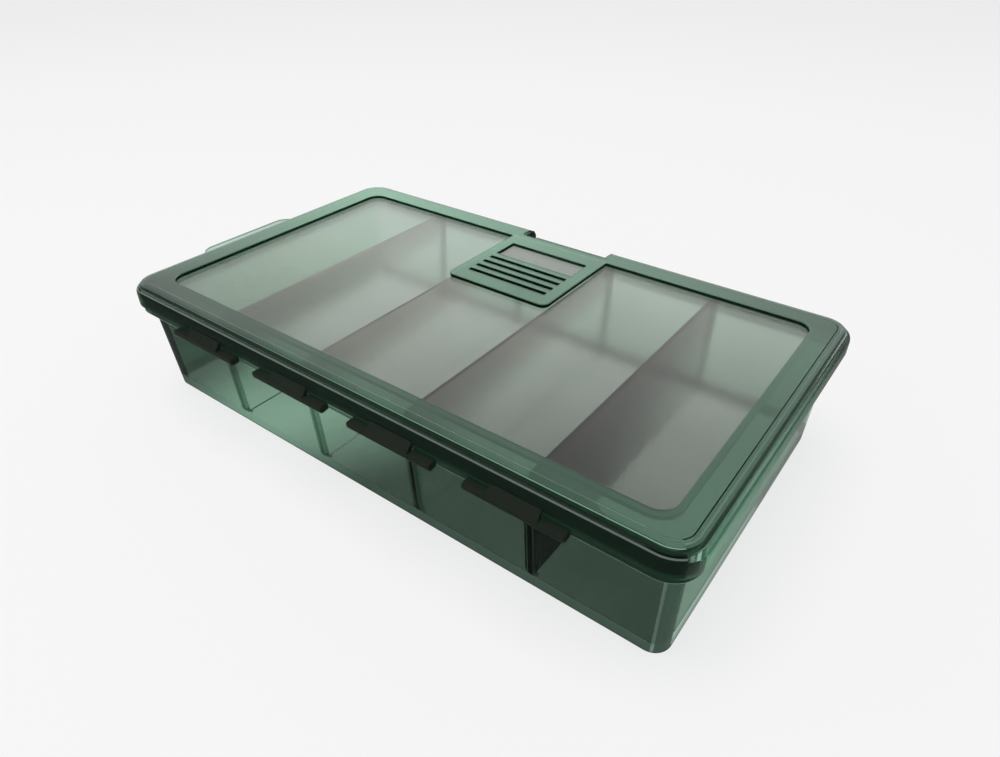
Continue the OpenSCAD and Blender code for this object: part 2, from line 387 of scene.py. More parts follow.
def repeat_along_x(piece: Piece, count: int, pitch: float, finish: Finish) -> None:
    """Repeats a piece in a row about the middle of the box, with a node tree that is then carried out.

    Args:
        piece: The first of the row, drawn about x = 0.
        count: How many stand in the row.
        pitch: From one to the next.
        finish: The finish of them all.
    """
    group = bpy.data.node_groups.new("row_along_x", "GeometryNodeTree")
    sockets = {label: group.interface.new_socket(label, in_out="INPUT", socket_type=f"NodeSocket{kind}")
               for label, kind in (("Geometry", "Geometry"), ("Count", "Int"), ("Pitch", "Float"),
                                   ("Finish", "Material"))}
    group.interface.new_socket("Geometry", in_out="OUTPUT", socket_type="NodeSocketGeometry")
    tree = Tree(group)
    given = tree.add("NodeGroupInput").outputs
    span = tree.math("MULTIPLY", tree.math("SUBTRACT", given["Count"], 1.0), given["Pitch"])
    first = tree.add("ShaderNodeCombineXYZ", {"X": tree.math("MULTIPLY", span, -0.5)})
    offset = tree.add("ShaderNodeCombineXYZ", {"X": given["Pitch"]})
    row = tree.add("GeometryNodeMeshLine", {"Count": given["Count"], "Start Location": first.outputs[0],
                                            "Offset": offset.outputs[0]})
    copies = tree.add("GeometryNodeInstanceOnPoints", {"Points": row.outputs["Mesh"],
                                                       "Instance": given["Geometry"]})
    real = tree.add("GeometryNodeRealizeInstances", {"Geometry": copies.outputs["Instances"]})
    paint = tree.add("GeometryNodeSetMaterial", {"Geometry": real.outputs["Geometry"],
                                                 "Material": given["Finish"]})
    tree.add("NodeGroupOutput", {"Geometry": paint.outputs["Geometry"]})
    modifier = piece.modifiers.new("row", "NODES")
    modifier.node_group = group
    for label, value in (("Count", count), ("Pitch", pitch * MM), ("Finish", finish)):
        modifier[sockets[label].identifier] = value
    settle(piece)
    bpy.data.node_groups.remove(group)


# Finishes

class Tree:
    """A short hand for building nodes."""

    def __init__(self, tree: bpy.types.NodeTree) -> None:
        """Takes the tree that the nodes go into."""
        self.nodes, self.links = tree.nodes, tree.links

    def add(self, kind: str, inputs: dict[str, object] | None = None,
            **settings: object) -> bpy.types.Node:
        """Adds a node.

        Args:
            kind: The node's type.
            inputs: Values or sockets for its inputs, by name or number.
            settings: The node's own settings.

        Returns:
            The node.
        """
        node = self.nodes.new(kind)
        for key, value in settings.items():
            setattr(node, key, value)
        for key, value in (inputs or {}).items():
            socket = node.inputs[int(key)] if key.isdigit() else node.inputs[key]
            if isinstance(value, Socket):
                self.links.new(value, socket)
            else:
                socket.default_value = value
        return node

    def math(self, operation: str, *values: object) -> Socket:
        """Gives what an operation makes of its values."""
        inputs = {str(i): value for i, value in enumerate(values)}
        return self.add("ShaderNodeMath", inputs, operation=operation).outputs[0]

    def spread(self, value: Socket, low: float, high: float, to_low: float = 0.0, to_high: float = 1.0,
               soft: bool = False) -> Socket:
        """Gives a value spread from one range to another, with soft ends where asked."""
        inputs = dict(zip(("Value", "From Min", "From Max", "To Min", "To Max"),
                          (value, low, high, to_low, to_high)))
        shape = "SMOOTHSTEP" if soft else "LINEAR"
        return self.add("ShaderNodeMapRange", inputs, interpolation_type=shape).outputs["Result"]

    def where(self) -> Socket:
        """Gives the place on the piece's own coordinates."""
        return self.add("ShaderNodeTexCoord").outputs["Object"]

    def noise(self, scale: float, detail: float = 3.0, to_low: float = 0.0,
              to_high: float = 1.0) -> Socket:
        """Gives a soft noise on the piece, spread between two values."""
        noise = self.add("ShaderNodeTexNoise", {"Vector": self.where(), "Scale": scale, "Detail": detail,
                                                "Roughness": 0.55})
        return self.spread(noise.outputs["Fac"], 0.35, 0.65, to_low, to_high)


class Paint(Tree):
    """The nodes of one material."""

    def __init__(self, name: str) -> None:
        """Starts an empty material."""
        self.material = bpy.data.materials.new(name)
        self.material.use_nodes = True
        super().__init__(self.material.node_tree)
        self.nodes.clear()

    def mix(self, share: object, first: Socket, second: Socket) -> Socket:
        """Gives a mix of two surfaces, with the share of the second."""
        return self.add("ShaderNodeMixShader", {"0": share, "1": first, "2": second}).outputs[0]

    def done(self, surface: Socket) -> Finish:
        """Gives the material with its surface."""
        self.add("ShaderNodeOutputMaterial", {"Surface": surface})
        return self.material


@dataclass(frozen=True)
class ClearPlastic:
    """Tinted plastic that can be seen through.

    Attributes:
        name: Name of the finish.
        tint: What one wall lets through.
        body: Colour of its dull share.
        haze: The dull share.
        lamps: What one face lets through of the lamps' light.
        roughness: Roughness of its faces.
        spread: How much the roughness varies.
        ior: Index of refraction.
        grain: Pattern's scale, per metre.
        relief: Depth of the pattern, in metres.
        foot_tint: What a wall shows at its foot, below the painted shade that darkens it towards the
            top, where that differs.
        fade: Heights, in millimetres, between which the tint goes from the foot's to the top's: painted
            shade.
        drift: How much lighter the colour gets in 100 mm along X, Y and Z: painted light and shade.
        twist: How much lighter it gets where X and Y are both 100 mm: painted light and shade.
        pool: Middle and reach along X, in millimetres, of a lighter stretch, a painted patch of light,
            and its gain.
        lean: How far the middle of that painted patch of light moves back along X with each millimetre
            of height.
        mottle: How much the colour wanders from place to place.
    """

    LEAST_SHARE: ClassVar[float] = 0.1

    name: str
    tint: Colour
    body: Colour = (0.1, 0.2, 0.15)
    haze: float = 0.0
    lamps: Colour = (0.75, 0.85, 0.8)
    roughness: float = 0.04
    spread: float = 0.03
    ior: float = 1.45
    grain: float = 90.0
    relief: float = 0.00001
    foot_tint: Colour | None = None
    fade: Pair = (5.0, 35.0)
    drift: Triple = (0.0, 0.0, 0.0)
    twist: float = 0.0
    pool: Triple | None = None
    lean: float = 1.3
    mottle: float = 0.05

    def build(self) -> Finish:
        """Builds the material."""
        tree = Paint(self.name)
        rough = tree.noise(self.grain, to_low=self.roughness, to_high=self.roughness + self.spread)
        waves = tree.noise(self.grain * 0.5, detail=2.0)
        bump = tree.add("ShaderNodeBump", {"Height": waves, "Strength": 1.0, "Distance": self.relief})
        share = self.share(tree)
        surface = self.shader(tree, rough, bump, self.scaled(tree, self.faded(tree), share), 1.0)
        if self.haze:
            dull = self.shader(tree, rough, bump, self.scaled(tree, self.body, share), 0.0)
            surface = tree.mix(self.haze, surface, dull)
        lit = tree.add("ShaderNodeBsdfTransparent", {"Color": (*self.lamps, 1.0)})
        path = tree.add("ShaderNodeLightPath")
        return tree.done(tree.mix(path.outputs["Is Shadow Ray"], surface, lit.outputs[0]))

    def shader(self, tree: Paint, rough: Socket, bump: bpy.types.Node, colour: Socket,
               clear: float) -> Socket:
        """Adds the clear or the dull share."""
        return tree.add("ShaderNodeBsdfPrincipled", {
            "Base Color": colour, "Roughness": rough, "IOR": self.ior, "Transmission Weight": clear,
            "Normal": bump.outputs["Normal"]}).outputs[0]

    def share(self, tree: Paint) -> Socket:
        """Gives how light the colour is at each place, with 1 for the colour as it is written: a random
        mottle, plus painted light and shade from the slopes and the patch of light.
        """
        where = tree.where()
        # The slopes below paint light and shade across the piece.
        slope = tuple(part / (100 * MM) for part in self.drift)
        along = self.dot(tree, where, slope)
        total = tree.math("ADD", along, tree.noise(16.0, 2.0, 1.0 - self.mottle, 1.0 + self.mottle))
        if self.twist:
            split = tree.add("ShaderNodeSeparateXYZ", {"Vector": where}).outputs
            both = tree.math("MULTIPLY", split["X"], split["Y"])
            total = tree.math("MULTIPLY_ADD", both, self.twist / (100 * MM) ** 2, total)
        # A painted patch of light: a lighter stretch along X that leans back with height.
        if self.pool:
            middle, reach, gain = self.pool
            off = tree.math("SUBTRACT", self.dot(tree, where, (1.0, 0.0, self.lean)), middle * MM)
            lift = tree.spread(tree.math("ABSOLUTE", off), 0.0, reach * MM, gain, 0.0, soft=True)
            total = tree.math("ADD", total, lift)
        return tree.math("MAXIMUM", total, self.LEAST_SHARE)

    def dot(self, tree: Paint, where: Socket, slope: Triple) -> Socket:
        """Gives how far a place lies along a slope."""
        product = tree.add("ShaderNodeVectorMath", {"0": where, "1": slope}, operation="DOT_PRODUCT")
        return product.outputs["Value"]

    def scaled(self, tree: Paint, colour: object, share: Socket) -> Socket:
        """Gives a colour as light as its share says."""
        lighter = tree.add("ShaderNodeVectorMath", {"0": colour, "Scale": share}, operation="SCALE")
        return lighter.outputs[0]

    def faded(self, tree: Paint) -> object:
        """Gives the tint, with its change with height where it has one: painted shade from the foot
        towards the top.
        """
        if not self.foot_tint:
            return self.tint
        split = tree.add("ShaderNodeSeparateXYZ", {"Vector": tree.where()})
        low, high = self.fade
        share = tree.spread(split.outputs["Z"], low * MM, high * MM, soft=True)
        colours = {"0": share, "6": (*self.foot_tint, 1.0), "7": (*self.tint, 1.0)}
        return tree.add("ShaderNodeMix", colours, data_type="RGBA").outputs[2]


@dataclass(frozen=True)
class BrushedSteel:
    """Bright steel wire with fine lines along it."""

    name: str = "pin_wire"
    colour: Colour = (0.62, 0.63, 0.64)
    roughness: Pair = (0.2, 0.42)
    grain: Triple = (60.0, 2600.0, 2600.0)
    relief: float = 0.00001

    def build(self) -> Finish:
        """Builds the material."""
        tree = Paint(self.name)
        drawn = tree.add("ShaderNodeMapping", {"Vector": tree.where(), "Scale": self.grain})
        lines = tree.add("ShaderNodeTexNoise", {"Vector": drawn.outputs[0], "Scale": 1.0, "Detail": 2.0})
        bump = tree.add("ShaderNodeBump", {"Height": lines.outputs["Fac"], "Distance": self.relief})
        steel = tree.add("ShaderNodeBsdfPrincipled", {
            "Base Color": (*self.colour, 1.0), "Metallic": 1.0,
            "Roughness": tree.spread(lines.outputs["Fac"], 0.0, 1.0, *self.roughness),
            "Normal": bump.outputs["Normal"]})
        return tree.done(steel.outputs[0])


@dataclass(frozen=True)
class StudioFloor:
    """Pale floor that looks evenly white and still takes a soft shadow.

    Attributes:
        name: Name of the finish.
        colour: The colour that it shows.
        even: Share of it that shows the colour whatever the light.
    """

    name: str = "studio_floor"
    colour: Colour = PALE
    even: float = 0.8

    def build(self) -> Finish:
        """Builds the material."""
        tree = Paint(self.name)
        path = tree.add("ShaderNodeLightPath").outputs
        seen = tree.math("MAXIMUM", path["Is Camera Ray"], path["Is Glossy Ray"])
        seen = tree.math("MAXIMUM", seen, path["Is Transmission Ray"])
        dull = tree.add("ShaderNodeBsdfDiffuse", {"Color": (*self.colour, 1.0)}).outputs[0]
        glow = tree.add("ShaderNodeEmission", {"Color": (*self.colour, 1.0), "Strength": 1.0}).outputs[0]
        return tree.done(tree.mix(tree.math("MULTIPLY", seen, self.even), dull, glow))


def clear(name: str, *colours: Colour, **looks: object) -> Finish:
    """Builds a clear plastic from its tint, its body and whatever else it sets."""
    return ClearPlastic(name, *colours, **looks).build()


class Finishes:
    """Every finish of the box, built once."""

    def __init__(self) -> None:
        """Builds the finishes."""
        # The cover is one green plastic. Its finishes down to side_bevel are lighter and darker copies
        # of it, picked by face, that paint light and shade. The border has its own green, with painted
        # light that makes it lighter towards the front and the ear side.
        self.border = clear("border_green", (0.235, 0.35, 0.276), (0.21, 0.395, 0.285), haze=0.22,
                            ior=1.5, drift=(0.33, -0.87, 0.0), twist=-0.9)
        # A painted highlight line along the window's lip.
        self.edge_line = clear("lip_painted_highlight_green", (0.40, 0.56, 0.47), (0.36, 0.58, 0.46), haze=0.45,
                               ior=1.5, drift=(0.15, -0.6, 0.0))
        # A painted highlight band at the crease of the hinged edge's bevel.
        self.crease = clear("crease_painted_highlight_green", (0.38, 0.52, 0.44), (0.34, 0.54, 0.43), haze=0.45,
                            ior=1.4, drift=(-0.5, -0.3, 0.0))
        # A painted highlight line along the edges.
        self.side_line = clear("side_line_painted_highlight_green", (0.22, 0.31, 0.26), (0.17, 0.24, 0.20), haze=0.5,
                               ior=1.3)
        # Painted shade: dark bevels and dark outline lines, also on the tray's ear and the window's
        # step.
        self.bevel = clear("bevel_green", (0.04, 0.085, 0.06), ior=1.2)
        # Painted shade: near-black lines on walls that drop into recesses, at outlines and along the
        # tray's bottom edge.
        self.recess = clear("recess_painted_shade_green", (0.004, 0.010, 0.007), (0.003, 0.006, 0.004), haze=0.5,
                            ior=1.1)
        # Painted shade on the rear skirt.
        self.skirt = clear("skirt_green", (0.008, 0.024, 0.015), (0.013, 0.026, 0.018), haze=0.5,
                           ior=1.04)
        # Painted light on the front and short skirts, lighter towards the hinges.
        self.side_skirt = clear("side_skirt_painted_light_green", (0.28, 0.54, 0.41), (0.16, 0.24, 0.19), haze=0.35,
                                ior=1.02, drift=(0.0, 1.6, 0.0))
        # Painted shade on the short sides' bevels.
        self.side_bevel = clear("side_bevel_painted_shade_green", (0.26, 0.33, 0.28), ior=1.04, drift=(0.0, 0.5, 0.0))
        # The window's own frosted tint, with painted light that makes it lighter towards the front and
        # the ear side.
        self.window = clear("window_frost", (0.83, 0.805, 0.785), (0.53, 0.53, 0.50), haze=0.09,
                            ior=1.3, roughness=0.14, spread=0.04, grain=500.0,
                            lamps=(0.8, 0.85, 0.82), drift=(0.25, -0.7, 0.0))
        self.label = clear("label_frost", (0.46, 0.47, 0.45), (0.29, 0.31, 0.29), haze=0.8,
                           roughness=0.3, spread=0.1, grain=500.0, ior=1.3)
        # The tray is one green plastic. Its finishes down to rib are lighter and darker copies of it,
        # picked by face, that paint light and shade. The rear wall is painted shade, lighter towards the
        # ear end, with a painted patch of light that leans with height.
        self.rear_wall = clear("tray_rear_painted_shade_green", (0.109, 0.150, 0.123), ior=1.06,
                               drift=(0.2, 0.0, 0.0), pool=(52.0, 52.0, 3.7))
        # Front walls, short walls, and the short walls' foot, which is painted shade.
        self.wall = clear("tray_wall_green", (0.28, 0.41, 0.34), ior=1.08)
        self.side_wall = clear("tray_side_green", (0.20, 0.36, 0.26), ior=1.03)
        self.side_foot = clear("side_foot_painted_shade_green", (0.09, 0.17, 0.12), ior=1.03)
        # A painted highlight line down the rear corners.
        self.corner = clear("tray_corner_painted_highlight_green", (0.15, 0.23, 0.19), (0.11, 0.17, 0.14), haze=0.6,
                            ior=1.1)
        self.floor = clear("tray_floor_green", (0.50, 0.60, 0.55), ior=1.3)
        # A painted highlight line along the flange's edges.
        self.flange = clear("flange_painted_highlight_green", (0.2, 0.3, 0.25), (0.16, 0.25, 0.2), haze=0.5, ior=1.4)
        # Painted shade along the foot and across the rear corners, with the same painted patch of light
        # as the rear wall.
        self.foot = clear("tray_foot_painted_shade_green", (0.2, 0.3, 0.25), (0.048, 0.082, 0.062), haze=0.95,
                          ior=1.05, pool=(52.0, 52.0, 3.6))
        # Painted light on the ear, and painted highlight lines on the rear ribs.
        self.ear = clear("ear_green", (0.55, 0.68, 0.61), (0.30, 0.46, 0.37), haze=0.2, ior=1.45)
        self.rib = clear("rib_painted_highlight_green", (0.35, 0.5, 0.42), ior=1.12)
        # The dividers: painted shade from the pale foot to a dark top, darker towards the hinges and the
        # plain end, with a painted patch of light about the middle. Their ends are painted darker still,
        # more so at the plain end.
        self.divider = clear("divider_grey_green", (0.21, 0.185, 0.17), foot_tint=(0.86, 0.92, 0.89),
                             fade=(6.0, 38.0), ior=1.2, drift=(1.3, -1.1, 0.0), pool=(0.0, 66.0, 1.2),
                             lean=0.0)
        self.divider_end = clear("divider_end_painted_shade_green", (0.04, 0.06, 0.05), ior=1.12,
                                 drift=(1.2, 0.0, 0.0))
        # Painted shade: the knuckles under the skirt are drawn near black.
        self.hinge = clear("hinge_painted_shade_green", (0.02, 0.04, 0.03), (0.022, 0.028, 0.022), haze=0.6, ior=1.05,
                           roughness=0.1)
        self.latch = clear("latch_green", (0.16, 0.30, 0.22), (0.05, 0.12, 0.08), haze=0.3, ior=1.45)
        self.steel = BrushedSteel().build()
        self.studio = StudioFloor().build()


# Sub-assemblies

@dataclass
class Tray:
    """The lower shell with its flange, ear and guide ribs; Hinges makes its knuckles.

    Attributes:
        finishes: The finishes of the box.
        lid_half: Half sizes of the lid, which the tray's walls follow.
    """

    finishes: Finishes
    lid_half: Pair = LID_HALF
    rim_setback: float = 3.5
    draft: Pair = (1.2, 2.6)
    foot_h: float = 0.5
    rim_z: float = 39.4
    corner_r: float = 5.0
    wall_t: float = 1.3
    floor_z: float = 2.0
    foot_edge_r: float = 0.5
    floor_edge_r: float = 1.4
    rim_edge_r: float = 0.35
    flange_z: Pair = (31.9, 34.1)
    flange_setback: float = 0.9
    flange_r: float = 8.1
    flange_edge_r: float = 0.35
    flange_fillet: tuple[Pair, ...] = ((0.0, 0.4), (0.12, 0.12), (0.4, 0.0))
    ear_reach: float = 16.3
    ear_root_w: float = 43.4
    ear_edge_w: float = 31.6
    ear_r: float = 5.5
    ear_sweep_deg: float = 80.0
    slot: Triple = (24.0, 6.0, 6.3)
    low_rim_x: float = 18.9
    low_rim_z: float = 34.1
    rib: Pair = (0.7, 1.2)
    rib_step: float = 1.2
    rib_top_z: float = 37.5
    bay_pitch: float = 39.36
    divider_count: int = 4
    # Heights where the painted shade along the foot and the painted shadow line at the bottom edge end.
    foot_strip_z: float = 4.7
    foot_line_z: float = 1.05
    # Turns, in degrees from facing the rear, of the painted highlight line and the painted shade band
    # round the rear corners.
    corner_line: Pair = (20.0, 29.0)
    corner_dark: Pair = (29.0, 81.0)
    skin: float = 0.5
    edge_skin: float = 0.9
    flange_skin: float = 1.0

    def half(self, z: float) -> Pair:
        """Half sizes of the outer faces at a height."""
        share = (self.rim_z - z) / (self.rim_z - self.foot_h)
        return tuple(self.lid_half[i] - self.rim_setback - self.draft[i] * share for i in (0, 1))

    def past(self, place_in: Vector) -> float:
        """How far a place lies outside the outer faces."""
        return outside(place_in, self.half(place_in.z), self.corner_r)

    def wall_ring(self, inset: float, z: float) -> Ring:
        """A ring on the outer faces at a height, drawn in by an inset."""
        hx, hy = self.half(z)
        return level(rectangle(hx, hy, self.corner_r).at(inset), z)

    def shell_rings(self) -> list[Ring]:
        """The rings of the shell: up the outside, round the flange, over the rim and down inside."""
        low, high = self.flange_z
        rim, edge = quarter(self.rim_edge_r, 3), quarter(self.flange_edge_r, 3)
        foot_z = self.foot_h * 0.6
        below = [(self.foot_edge_r + 0.1, 0.0), (self.foot_edge_r, 0.1), (self.foot_edge_r, foot_z)]
        below += [(inset, foot_z + along) for inset, along in quarter(self.foot_edge_r, 4)[1:]]
        # Rings where the painted shadow line and the painted shade along the foot end.
        below += [(0.0, self.foot_line_z), (0.0, self.foot_strip_z)]
        below += [(-inset, low - down) for inset, down in self.flange_fillet]
        flange = rectangle(*(half - self.flange_setback for half in self.lid_half), self.flange_r)
        around = [(inset, low + along) for inset, along in edge]
        around += [(inset, high - along) for inset, along in reversed(edge)]
        above = [(-inset, high + up) for inset, up in reversed(self.flange_fillet)]
        above += [(inset, self.rim_z - along) for inset, along in reversed(rim)]
        above += [(self.wall_t - inset, self.rim_z - along) for inset, along in rim]
        above += [(self.wall_t + inset, self.floor_z + along)
                  for inset, along in reversed(quarter(self.floor_edge_r, 4))]
        rings = [self.wall_ring(*step) for step in below]
        rings += [level(flange.at(inset), z) for inset, z in around]
        return rings + [self.wall_ring(*step) for step in above]

    def shell(self) -> Piece:
        """Makes the shell with its ear, lanyard slot and low stretch of rim."""
        low, high = self.flange_z
        slot_l, slot_w, slot_edge = self.slot
        edge_x = self.lid_half[0] + self.ear_reach
        slot_x = edge_x - slot_edge - slot_w / 2
        root_x = self.lid_half[0] - self.flange_setback - 1.0
        sweep = math.radians(self.ear_sweep_deg)
        r, half_w = self.ear_r, self.ear_edge_w / 2
        right = [(edge_x - r + r * math.cos(a), r * math.sin(a) - half_w)
                 for a in (sweep * (step / 8 - 1) for step in range(9))]
        left = [(u, -v) for u, v in reversed(right)]
        root_y = self.ear_root_w / 2
        ear = Outline([Corner(root_x, -root_y), *(Corner(u, v, 0.6) for u, v in right + left),
                       Corner(root_x, root_y)], steps=2)
        blank = Blank("tray_shell", loft("tray_shell", self.shell_rings()))
        blank.join(plate("ear", ear, low, high, self.flange_edge_r, self.flange_edge_r))
        slot = box_outline(slot_x - slot_w / 2, slot_x + slot_w / 2, -slot_l / 2, slot_l / 2,
                           slot_w / 2 - 0.01, 8)
        blank.cut(plate("slot", slot, low - 1.0, high + 1.0))
        low_rim = box_outline(-self.low_rim_x, self.low_rim_x, self.low_rim_z, self.rim_z + 8.0, 0.6)
        ends = (-self.lid_half[1] - 1.0, 3.4 - self.half(high)[1])
        blank.cut(loft("low_rim", [[Vector((u, y, v)) for u, v in low_rim.at()] for y in ends]))
        piece = blank.done()
        smooth(piece)

        own = self.finishes

        def rule(middle: Vector, normal: Vector) -> Finish:
            """Each wall gets a lighter or darker copy of the plastic by which way it faces, which paints
            light and shade, and the edges, the rear corners and the foot are drawn in painted shade and
            highlight lines.
            """
            # The ear is painted light, with a painted dark outline.
            if middle.x > self.lid_half[0]:
                return own.ear if abs(normal.z) > FLAT else own.bevel
            if abs(normal.z) > FLAT and middle.z < self.floor_z + self.skin:
                return own.floor
            past = self.past(middle)
            sideways = abs(normal.x) > FACING
            if low - 0.1 < middle.z < high + 0.1 and past > self.flange_skin:
                return own.flange if abs(normal.z) > LEANING else own.rear_wall
            # A painted shadow line along the bottom edge.
            if middle.z < self.foot_line_z and past > -self.edge_skin and abs(normal.x) < FLAT:
                return own.recess
            if past > -self.skin:
                turn = math.degrees(math.atan2(abs(normal.x), abs(normal.y)))
                # A painted highlight line and a painted shade band round the rear corners.
                if middle.y > 0 and self.corner_line[0] < turn < self.corner_line[1]:
                    return own.corner
                if middle.y > 0 and self.corner_dark[0] < turn < self.corner_dark[1]:
                    return own.foot
                # Painted shade along the foot.
                if middle.z < self.foot_strip_z:
                    return own.side_foot if sideways else own.foot
            if sideways:
                return own.side_wall
            return own.rear_wall if middle.y > 0 and abs(normal.y) > LEANING else own.wall

        dress(piece, [own.wall, own.floor, own.ear, own.rear_wall, own.flange, own.foot, own.recess,
                      own.bevel, own.side_wall, own.corner, own.side_foot], rule)
        return piece

    def ribs(self, name: str, side: int, finish: Finish) -> Piece:
        """Makes the guide ribs of one long wall, two at each divider.

        Args:
            name: Name of the piece.
            side: 1 for the rear wall and -1 for the front wall.
            finish: The finish of the ribs.

        Returns:
            The piece.
        """
        width, depth = self.rib
        meshes = []
        for turn in (-1, 1):
            x = turn * self.rib_step
            rings = []
            for z in (self.floor_z + 0.05, self.floor_z + 1.5, self.rib_top_z - 0.3, self.rib_top_z):
                wall = self.half(z)[1] - self.wall_t - 0.02
                if z < self.floor_z + 1.0:
                    wall -= 1.2
                tip = wall - depth
                near, far = (tip, wall) if side > 0 else (-wall, -tip)
                inset = 0.2 if z == self.rib_top_z else 0.0
                section = box_outline(x - width / 2, x + width / 2, near, far, 0.3, 3)
                rings.append(level(section.at(inset), z))
            meshes.append(loft("rib", rings))
        piece = place(name, merged(name, meshes))
        repeat_along_x(piece, self.divider_count, self.bay_pitch, finish)
        smooth(piece)
        return piece

    def build(self) -> None:
        """Builds the tray's pieces and parents them to the tray's body."""
        shell = self.shell()
        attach(shell, "tray")
        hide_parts("tray")
        rear = self.ribs("tray_rear_ribs", 1, self.finishes.rib)
        front = self.ribs("tray_front_ribs", -1, self.finishes.wall)
        for ribs in (rear, front):
            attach(ribs, "tray")
        report(shell, rear, front)


@dataclass
class Dividers:
    """Four plates between the bays."""

    tray: Tray
    thickness: float = 1.4
    gap: float = 0.1
    top_z: float = 38.3
    edge_r: float = 0.25
    corner_r: Pair = (1.3, 0.4)

    def build(self) -> None:
        """Builds the plates and parents them to the tray's body."""
        low, high = self.tray.floor_z + 0.05, self.top_z
        inner = [self.tray.half(z)[1] - self.tray.wall_t - self.gap for z in (low, high)]
        foot_r, top_r = self.corner_r
        outline = Outline([Corner(-inner[0], low, foot_r), Corner(inner[0], low, foot_r),
                           Corner(inner[1], high, top_r), Corner(-inner[1], high, top_r)], steps=5)
        half_t = self.thickness / 2
        piece = place("bay_dividers", bar("bay_dividers", outline, -half_t, half_t, self.edge_r))
        own = self.tray.finishes
        repeat_along_x(piece, self.tray.divider_count, self.tray.bay_pitch, own.divider)
        smooth(piece)
        # The plates' ends are drawn darker: painted shade.
        dress(piece, [own.divider, own.divider_end],
              lambda middle, normal: own.divider_end if abs(normal.y) > FACING else own.divider)
        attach(piece, "tray")
        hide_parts("divider_1", "divider_2", "divider_3", "divider_4")
        report(piece)


@dataclass
class Hinges:
    """Four hinges on the rear long side: two outer knuckles on the tray, one between them on the lid."""

    tray: Tray
    axis: Pair = (60.7, 32.75)
    length: float = 29.0
    outer_l: float = 7.2
    gap: float = 0.04
    out: float = 1.0
    down: float = 1.0
    rise: float = 1.25
    belly_r: float = 0.9
    bore_r: float = 0.84
    end_cap: float = 0.45
    edge_r: float = 0.06
    skirt_z: float = 34.45

    def knuckle(self, x0: float, x1: float, shape: Sequence[Corner], bore: Pair) -> Mesh:
        """Makes one knuckle with its bore.

        Args:
            x0: Where it starts.
            x1: Where it ends.
            shape: Corners of its end, in Y and Z.
            bore: Where the bore starts and ends.

        Returns:
            The mesh.
        """
        blank = Blank("knuckle", bar("knuckle", Outline(shape, 5), x0, x1, self.edge_r))
        blank.cut(round_bar("bore", *self.axis, self.bore_r, *bore, 24))
        piece = blank.done()
        mesh = piece.data
        bpy.data.objects.remove(piece)
        return mesh

    def build(self) -> None:
        """Builds the knuckles and parents them to the tray's and the lid's bodies."""
        y, z = self.axis
        flange_y = self.tray.lid_half[1] - self.tray.flange_setback + 0.02
        skirt_y = self.tray.lid_half[1] + 0.03
        low, high = self.tray.flange_z
        near, below = y - self.out, z - self.down
        belly = [Corner(y + self.out, below, self.belly_r), Corner(y + self.out, z + self.rise, 0.45)]
        on_flange = [Corner(flange_y, low + 0.05), Corner(y - 0.3, below, 0.2), *belly,
                     Corner(flange_y, high - 0.05)]
        on_skirt = [Corner(near, below, 0.35), *belly, Corner(y + 0.5, self.skirt_z + 0.3, 0.4),
                    Corner(skirt_y, self.skirt_z + 2.3, 0.1), Corner(skirt_y, z + 0.4, 0.05),
                    Corner(near, z + 0.2, 0.05)]
        half = self.length / 2
        inner_l = half - self.outer_l - self.gap
        outer = [self.knuckle(-half, -half + self.outer_l, on_flange, (-half + self.end_cap, 0.0)),
                 self.knuckle(half - self.outer_l, half, on_flange, (0.0, half + 1.0))]
        on_tray = place("tray_knuckles", merged("tray_knuckles", outer))
        on_lid = place("lid_knuckles", self.knuckle(-inner_l, inner_l, on_skirt, (-half, half)))
        for piece, body, slot in ((on_tray, "tray", "tray_plastic"), (on_lid, "lid", "lid_plastic")):
            repeat_along_x(piece, self.tray.divider_count, self.tray.bay_pitch, self.tray.finishes.hinge)
            smooth(piece)
            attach(piece, body)
            report(piece)
        for i in range(self.tray.divider_count):
            dress(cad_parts[f"hinge_pin_{i + 1}"], [self.tray.finishes.steel])


class Edge(Enum):
    """An edge of the cover."""

    HINGED = "hinged"
    FRONT = "front"
    EAR = "ear"
    PLAIN = "plain"


